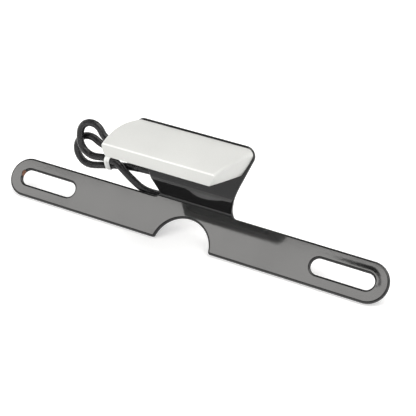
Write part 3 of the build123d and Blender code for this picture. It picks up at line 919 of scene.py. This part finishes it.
class HOLDER_OT_fasteners(bpy.types.Operator):
    """Build the threaded studs and finish the screws, nuts and washers"""

    bl_idname = "holder.fasteners"
    bl_label = "Fasteners"

    def execute(self, context):
        zinc = shared(zinc_plate)
        paint_nodes(zinc, "lens_screws", "board_screws", "stud_washers", "stud_spring_washers", "stud_nuts")
        studs = add_mesh("threaded_studs", *joined([self.stud(x) for x in (-STUD_OUT, STUD_OUT)]))
        finish_piece(studs, ["lamp_studs"], zinc, crease=45)
        return {"FINISHED"}

    def stud(self, x, pitch=0.7, thread_depth=0.36, steps=28):
        """A stud with a moulded-in flange, a plain shank and a thread cut on its free end."""
        base = at_head(x, STUD_UP, 0)
        turns = [2 * pi * k / steps for k in range(steps)]
        ways = [ACROSS * cos(t) + UP_HEAD * sin(t) for t in turns]
        rings = [
            [base + (OUT_HEAD * along + way * radius) * MM for way in ways]
            for along, radius in ((3.6, 3.2), (2.0, 3.2), (2.0, 2.0), (-2.0, 2.0))
        ]
        start, end = 2.2, 10.5
        per_turn = 8
        count = int((end - start) / pitch * per_turn)
        for k in range(count + 1):
            depth = start + (end - start) * k / count
            run_in = min(1.0, k / per_turn)
            taper = max(0.0, (depth - end + 0.6) / 0.6) * 0.45
            ring = []
            for t, way in zip(turns, ways):
                phase = depth / pitch - t / (2 * pi)
                groove = abs(2 * (phase - floor(phase)) - 1) * thread_depth * run_in
                radius = min(2.0 - groove, 2.0 - taper)
                ring.append(base + (OUT_HEAD * -depth + way * radius) * MM)
            rings.append(ring)
        return skin(rings)


# The lead

# The lead's first points in millimetres in the shared frame, from inside the lamp round the holder's
# back to the tie, as in the model's source with more points where the photograph shows the bend
LEAD_ROUTE = [
    (0.0, -25.47, 26.29), (0.0, -11.7, 37.09), (-6.0, 6.5, 22.5), (-14.0, 6.6, 12.0), (-21.5, 3.6, 10.5),
    (-27.6, 1.0, 10.2), (-31.8, -3.4, 12.1), (-36.1, -6.4, 14.5), (-40.4, -8.2, 17.0),
]

# The wound turns in millimetres across the head plate, up it and out from it
NEAR_TURN = [
    (-45.0, 0.2, -5.1), (-48.7, -0.3, -5.2), (-52.1, -0.9, -5.2), (-55.4, -0.5, -5.2), (-58.2, 1.3, -5.2),
    (-59.9, 4.1, -5.2), (-60.2, 7.0, -5.2), (-60.0, 10.3, -5.2), (-58.4, 13.2, -5.2), (-55.5, 14.8, -5.2),
    (-52.2, 14.8, -5.2), (-49.5, 13.0, -5.2), (-47.8, 10.2, -5.2), (-44.9, 8.7, -5.2), (-41.3, 8.8, -5.2),
    (-36.0, 9.9, -5.2), (-29.0, 11.5, -5.2), (-21.5, 12.7, -5.3), (-14.5, 12.9, -5.4), (-10.3, 12.8, -5.7),
    (-6.9, 10.9, -6.3), (-4.9, 7.6, -7.0), (-4.9, 3.7, -7.7), (-6.8, 0.3, -8.3), (-10.2, -1.7, -8.6),
    (-14.5, -1.9, -8.7),
]
FAR_TURN = [
    (-21.0, -1.9, -8.7), (-29.0, -2.1, -8.7), (-36.5, -2.9, -8.7), (-43.2, -4.1, -8.7), (-49.6, -5.7, -8.7),
    (-55.1, -7.2, -8.7), (-58.9, -7.3, -8.7), (-62.1, -5.4, -8.7), (-63.9, -2.2, -8.7), (-63.9, 1.4, -8.7),
    (-62.1, 4.7, -8.7), (-58.9, 6.5, -8.7), (-55.2, 6.5, -8.7), (-51.9, 4.6, -8.7), (-48.0, 3.6, -8.7),
    (-43.2, 3.5, -8.5), (-37.0, 4.4, -7.8), (-30.0, 5.4, -6.4), (-21.0, 6.2, -4.8), (-12.0, 6.3, -3.8),
    (-4.0, 6.3, -3.8), (3.4, 6.3, -3.8),
]

# Where the cores leave the sheath, up the head plate and out from it
CORE_UP, CORE_OUT = 6.3, -3.8

# The strands that the tie holds, up the head plate and out from it
TIED_STRANDS = [(0.1, -5.1), (-4.7, -8.7)]

# Turned forms: distance along the axis and radius
GROMMET = [
    (1.4, 1.66), (1.4, 4.5), (0.0, 4.5), (0.0, 3.2), (-2.0, 3.2), (-2.0, 4.5), (-3.4, 4.1), (-4.6, 2.4),
    (-4.6, 1.66),
]
SLEEVE = [
    (0, 0.7), (0, 1.3), (0.3, 1.5), (2.2, 1.5), (2.5, 1.28), (3.2, 1.28), (3.5, 1.5), (4.9, 1.5),
    (5.2, 1.28), (5.9, 1.28), (6.2, 1.5), (7.8, 1.5), (8.0, 1.3), (8.0, 0.9),
]
PIN = [
    (7.7, 0.8), (7.9, 1.0), (9.2, 1.0), (9.45, 0.78), (9.75, 0.78), (10.0, 1.0), (10.4, 0.92), (10.8, 0.66),
    (11.0, 0.25),
]


def round_cord(name, points, diameter, resolution=10):
    """A smooth round cord on one open spline through control points in metres."""
    curve = bpy.data.curves.new(name, "CURVE")
    curve.dimensions = "3D"
    curve.resolution_u = resolution
    curve.bevel_depth = diameter / 2
    curve.bevel_resolution = 6
    curve.use_fill_caps = True
    spline = curve.splines.new("NURBS")
    spline.points.add(len(points) - 1)
    for target, point in zip(spline.points, points):
        target.co = (*point, 1.0)
    spline.order_u = 3
    spline.use_endpoint_u = True
    return put(name, curve)


class HOLDER_OT_lead(bpy.types.Operator):
    """Build the lamp's lead from its grommet through the wound turns to its terminals"""

    bl_idname = "holder.lead"
    bl_label = "Lead"

    def execute(self, context):
        form = context.scene.lead_form
        route = [Vector(point) * MM for point in LEAD_ROUTE]
        turns = [at_head(*point) for point in NEAR_TURN + FAR_TURN]
        cord = round_cord("lamp_cord", route + turns, form.diameter)
        finish_piece(cord, ["lamp_lead", "lead_hank", "lead_tail"], lead_sheath(form.sheath))
        ends = self.ends(form)
        self.grommet()
        tie = self.tie(form)
        tuple(at_head(0, GROMMET_UP, -3.4))
        return {"FINISHED"}

    def grommet(self):
        """A turned rubber grommet with rounded flanges."""
        rings = lathe_rings(rounded(GROMMET, 0.45), at_head(0, GROMMET_UP, 0), OUT_HEAD)
        piece = add_mesh("grommet", *skin(rings, closed_loop=True))
        finish_piece(piece, ["lead_grommet"], shared(black_rubber), crease=50)

    def ends(self, form):
        """The two cores, their crimped sleeves and the bullet pins on them."""
        pieces, sleeves, pins = [], [], []
        cores = ((1, "feed", ["lead_cores"], form.live), (-1, "return", [], form.earth))
        for side, name, replaced, tint in cores:
            path = [
                at_head(x, CORE_UP + side * rise, CORE_OUT)
                for x, rise in ((2.4, 0.6), (4.2, 0.65), (5.8, 1.35), (8.6, 2.05))
            ]
            core = round_cord(f"{name}_core", path, form.core, 6)
            pieces.append(finish_piece(core, replaced, core_insulation(f"{name}_core", tint)))
            axis = ACROSS * 4.5 + UP_HEAD * (side * 1.2)
            base = at_head(7.7, CORE_UP + side * 1.8, CORE_OUT)
            sleeves.append(skin(lathe_rings(rounded(SLEEVE, 0.2, 3), base, axis)))
            pins.append(skin(lathe_rings(rounded(PIN, 0.15, 3), base, axis)))
        crimps = add_mesh("crimp_sleeves", *joined(sleeves))
        pieces.append(finish_piece(crimps, ["terminal_sleeves"], shared(moulded_black)))
        bullets = add_mesh("bullet_pins", *joined(pins))
        pieces.append(finish_piece(bullets, ["bullet_terminals"], terminal_brass()))
        return pieces

    def tie(self, form):
        """A flat twist tie drawn aslant round the two lower strands, its twisted ends behind them."""
        place, slant, slack = -44.6, 0.26, 0.35
        width, thickness, wire = 1.3, 0.16, 0.4
        section = [
            (-1.0, 0.6), (-0.96, 1.0), (-0.3, 1.0), (0.0, wire / thickness), (0.3, 1.0), (0.96, 1.0),
            (1.0, 0.6), (1.0, -0.6), (0.96, -1.0), (0.3, -1.0), (0.0, -1.0), (-0.3, -1.0), (-0.96, -1.0),
            (-1.0, -0.6),
        ]
        rings = []
        for (s, h), (ns, nh) in self.wrap(TIED_STRANDS, form.diameter / MM / 2 + slack):
            crinkle = 0.05 * sin(s * 2.3) * cos(h * 1.7)
            ring = []
            for x, t in section:
                out = t * thickness + crinkle
                ring.append(at_head(place + slant * s + x * width, s + ns * out, h + nh * out))
            rings.append(ring)
        loop = skin(rings, closed_loop=True)
        start = Vector((place - 1.0, -5.2, -10.9))
        heading = Vector((0.96, 0.26, -0.1)).normalized()
        side = heading.orthogonal().normalized()
        other = heading.cross(side)
        turns, parting, tail, steps, slim = 3.2, 0.78, 9.0, 60, 0.9
        twists = []
        for phase in (0.0, pi):
            strip = []
            for k in range(steps + 1):
                t = k / steps
                angle = 2 * pi * turns * min(t, parting) + phase
                spread = 0.3 + max(t - parting, 0.0) * 4.0
                radial = side * cos(angle) + other * sin(angle)
                flat = heading.cross(radial)
                centre = start + heading * (tail * t) + radial * spread
                strip.append([
                    at_head(*(centre + flat * (x * width * slim) + radial * (y * thickness * slim)))
                    for x, y in section
                ])
            twists.append(skin(strip))
        piece = add_mesh("twist_tie_loop", *joined([loop, *twists]))
        return finish_piece(piece, ["twist_tie"], tie_plastic(form.tie), crease=40)

    def wrap(self, strands, reach, steps=20):
        """Points and outward normals of a band drawn tight round two round strands."""
        (s0, h0), (s1, h1) = strands
        lean = atan2(h1 - h0, s1 - s0)
        outline = []
        for (s, h), start in (((s1, h1), lean - pi / 2), ((s0, h0), lean + pi / 2)):
            for k in range(steps + 1):
                angle = start + pi * k / steps
                normal = (cos(angle), sin(angle))
                outline.append(((s + normal[0] * reach, h + normal[1] * reach), normal))
        return outline


# The studio

# The way that was up in the photograph, in the shared frame, and where the floor lies along it
PHOTO_UP = Vector((0, -0.7155, 0.6988)).normalized()
FLOOR_LEVEL, FLOOR_HALF = -0.00634, 1.6

# Cards that the gloss paint mirrors: name, how bright they look, left and right ends, and the
# places of their two long edges, in metres
CARDS = [
    ("low_flag", 0.1, (-1.8, 0.4), (-1.07, -0.5), (-1.07, 0.112)),
    ("wall_flag", 0.03, (-1.8, 0.4), (-1.1, 0.193), (-1.1, 1.3)),
    ("roof_flag", 0.45, (-1.8, 0.4), (-1.1, 1.3), (1.6, 1.3)),
    ("back_flag", 0.03, (-1.8, 0.4), (1.6, -0.3), (1.6, 1.3)),
    ("floor_card", 0.8, (-0.24, 0.12), (-0.12, -0.1291), (-0.012, -0.0186)),
]


class HOLDER_OT_studio(bpy.types.Operator):
    """Build the pale floor, the soft lamps, the surroundings and the camera"""

    bl_idname = "holder.studio"
    bl_label = "Studio"

    def execute(self, context):
        form = context.scene.studio_form
        self.ground(form)
        self.surroundings(context, form)
        ahead = Vector((-0.6175, -1.078, -0.054))
        self.lamp("front_lamp", ahead, Vector((0, -1, 0)), (0.865, 0.492), form.front)
        above = PHOTO_UP * 1.1 + Vector((0.25, 0.15, 0))
        self.lamp("top_lamp", above, above, (0.9, 0.9), form.top)
        beside = Vector((1.1, -0.35, 0.25))
        self.lamp("side_lamp", beside, beside, (0.6, 0.6), form.side)
        for card in CARDS:
            self.card(*card)
        self.camera(context)
        return {"FINISHED"}

    def ground(self, form):
        """A pale floor that is white where it is seen, and clear from below."""
        along = PHOTO_UP.cross(ACROSS)
        corners = [
            PHOTO_UP * FLOOR_LEVEL + (ACROSS * x + along * y) * FLOOR_HALF
            for x, y in ((-1, -1), (1, -1), (1, 1), (-1, 1))
        ]
        ground = add_mesh("floor", corners, [(0, 1, 2, 3)])
        finish = Finish("floor_white", IOR=1.45, Roughness=0.6)
        body = finish.coat(Base_Color=finish.mix(finish.noise(30.0, 3.0), (0.86,) * 3, (0.88,) * 3))
        camera, glossy, passed = finish.rays("Camera", "Glossy", "Transmission")
        strength = (camera + glossy + passed) * form.floor_white
        lift = finish.node("ShaderNodeEmission", {}, {"Color": (1, 1, 1), "Strength": strength})
        lit = finish.node("ShaderNodeAddShader", {}, {0: Signal(finish, finish.shader.outputs[0]), 1: lift})
        clear = finish.node("ShaderNodeBsdfTransparent")
        hidden = finish.node("ShaderNodeNewGeometry", output="Backfacing") * camera
        shown = finish.node("ShaderNodeMixShader", {}, {0: hidden, 1: lit, 2: clear})
        finish.feed(finish.tree.nodes["Material Output"].inputs["Surface"], shown)
        ground.data.materials.append(body)

    def surroundings(self, context, form):
        """Even light from all round, plain white where it is seen."""
        world = bpy.data.worlds.new("white_surroundings")
        world.use_nodes = True
        sky = Nodes(world.node_tree)
        camera, glossy, passed = sky.rays("Camera", "Glossy", "Transmission")
        seen = camera.most(glossy.most(passed))
        background = sky.tree.nodes["Background"]
        sky.feed(background.inputs["Color"], (1, 1, 1))
        strength = sky.node("ShaderNodeMapRange", {}, {"Value": seen, "To Min": form.sky, "To Max": 1.0})
        sky.feed(background.inputs["Strength"], strength)
        context.scene.world = world

    def lamp(self, name, place, behind, size, power):
        """A rectangular soft lamp with its back towards a direction."""
        light = bpy.data.lights.new(name, "AREA")
        light.shape = "RECTANGLE"
        light.size, light.size_y = size
        light.energy = power
        light.color = (1.0, 0.985, 0.96)
        holder = put(name, light)
        holder.location = place
        holder.rotation_euler = behind.to_track_quat("Z", "Y").to_euler()
        holder.visible_camera = False

    def card(self, name, bright, ends, near, far):
        """A card that shows only in reflections, as things round the real paint did."""
        left, right = ends
        corners = [(left, *near), (right, *near), (right, *far), (left, *far)]
        card = add_mesh(name, corners, [(0, 1, 2, 3)])
        finish = Finish(
            name, Base_Color=(0, 0, 0, 1), Roughness=1.0, Specular_IOR_Level=0.0, Emission_Strength=1.0
        )
        uneven = finish.mix(finish.noise(8.0), (bright,) * 3, (bright * 1.15,) * 3)
        card.data.materials.append(finish.coat(Emission_Color=uneven))
        card.visible_camera = False
        card.visible_diffuse = False
        card.visible_shadow = False
        card.visible_transmission = False

    def camera(self, context):
        """The camera that was fitted to the bar's outline, slots and notch."""
        data = bpy.data.cameras.new("photo_camera")
        data.sensor_width = 36.0
        data.lens = 111.22
        data.clip_start = 0.01
        camera = put("photo_camera", data)
        view = Vector((-0.4101, 0.8996, 0.1501))
        right = Vector((0.8736, 0.3401, 0.3481))
        up = Vector((-0.2621, -0.2739, 0.9254))
        place = Vector((0.2337, -0.5009, -0.0731))
        camera.matrix_world = Matrix((
            (right.x, up.x, -view.x, place.x),
            (right.y, up.y, -view.y, place.y),
            (right.z, up.z, -view.z, place.z),
            (0, 0, 0, 1),
        ))
        context.scene.camera = camera
        context.scene.view_settings.view_transform = "Standard"


# The add-on


class HOLDER_PT_pieces(bpy.types.Panel):
    """Lists the holder's pieces and sizes"""

    bl_idname = "HOLDER_PT_pieces"
    bl_label = "Plate holder"
    bl_space_type = "VIEW_3D"
    bl_region_type = "UI"
    bl_category = "Plate holder"

    def draw(self, context):
        for operator in OPERATORS:
            self.layout.operator(operator.bl_idname)
        for name, group in GROUPS.items():
            box = self.layout.box()
            for size in group.__annotations__:
                box.prop(getattr(context.scene, name), size)


GROUPS = {
    "holder_sheet": HolderSheet, "lamp_form": LampForm, "lead_form": LeadForm, "studio_form": StudioForm,
}
OPERATORS = [
    HOLDER_OT_studio, HOLDER_OT_lead, HOLDER_OT_sheet, HOLDER_OT_lamp_shell, HOLDER_OT_lamp_inside,
    HOLDER_OT_fasteners,
]
CLASSES = [*GROUPS.values(), *OPERATORS, HOLDER_PT_pieces]


def register():
    for item in CLASSES:
        bpy.utils.register_class(item)
    for name, group in GROUPS.items():
        setattr(bpy.types.Scene, name, bpy.props.PointerProperty(type=group))


def unregister():
    for name in GROUPS:
        delattr(bpy.types.Scene, name)
    for item in reversed(CLASSES):
        bpy.utils.unregister_class(item)


def main():
    register()
    for operator in OPERATORS:
        group, action = operator.bl_idname.split(".")
        getattr(getattr(bpy.ops, group), action)()


if __name__ == "__main__":
    main()
